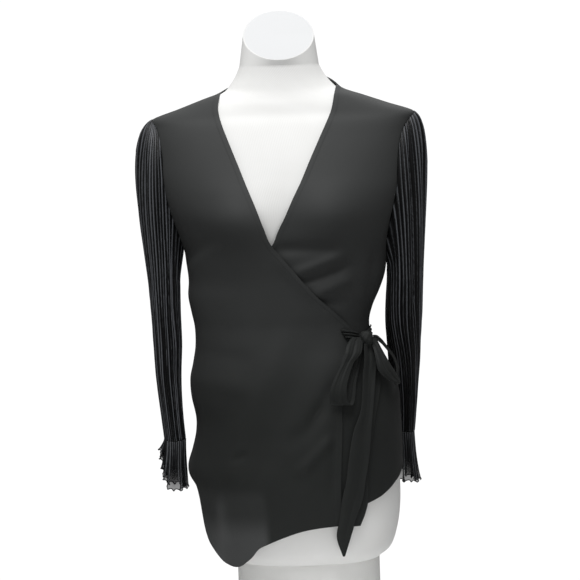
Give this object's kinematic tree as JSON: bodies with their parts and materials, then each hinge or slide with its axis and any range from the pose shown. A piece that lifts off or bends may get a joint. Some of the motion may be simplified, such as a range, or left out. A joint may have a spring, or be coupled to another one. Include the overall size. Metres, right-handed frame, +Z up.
{
  "type": "wrap top on a dress form",
  "caption": "Wrap top with a V neck, a side bow, pleated sleeves and frilled cuffs, worn by a limbless dress form on an oval base.",
  "frame": {"origin": "middle of the underside of the oval base, on the surface that the dress form stands on", "axes": "+Z up, -Y to the wearer's front, +X to the wearer's left"},
  "size_m": [0.4344, 0.2525, 0.9184],
  "materials": {
    "body_cloth": "matte crepe",
    "pleated_cloth": "fine pleats with a faint sheen",
    "form_cover": "smooth stretched cover",
    "base_coat": "matte"
  },
  "bodies": {
    "root": {"form_base": "base_coat", "dress_form": "form_cover", "back": "body_cloth", "front_under": "body_cloth", "front_over": "body_cloth", "sleeve_right": "pleated_cloth", "cuff_right": "pleated_cloth", "sleeve_left": "pleated_cloth", "cuff_left": "pleated_cloth", "tie_gathers": "body_cloth", "tie_root": "body_cloth", "tie_knot": "body_cloth", "loop_right": "body_cloth", "loop_left": "body_cloth", "tail_back": "body_cloth", "tail_front": "body_cloth"}
  },
  "joints": []
}
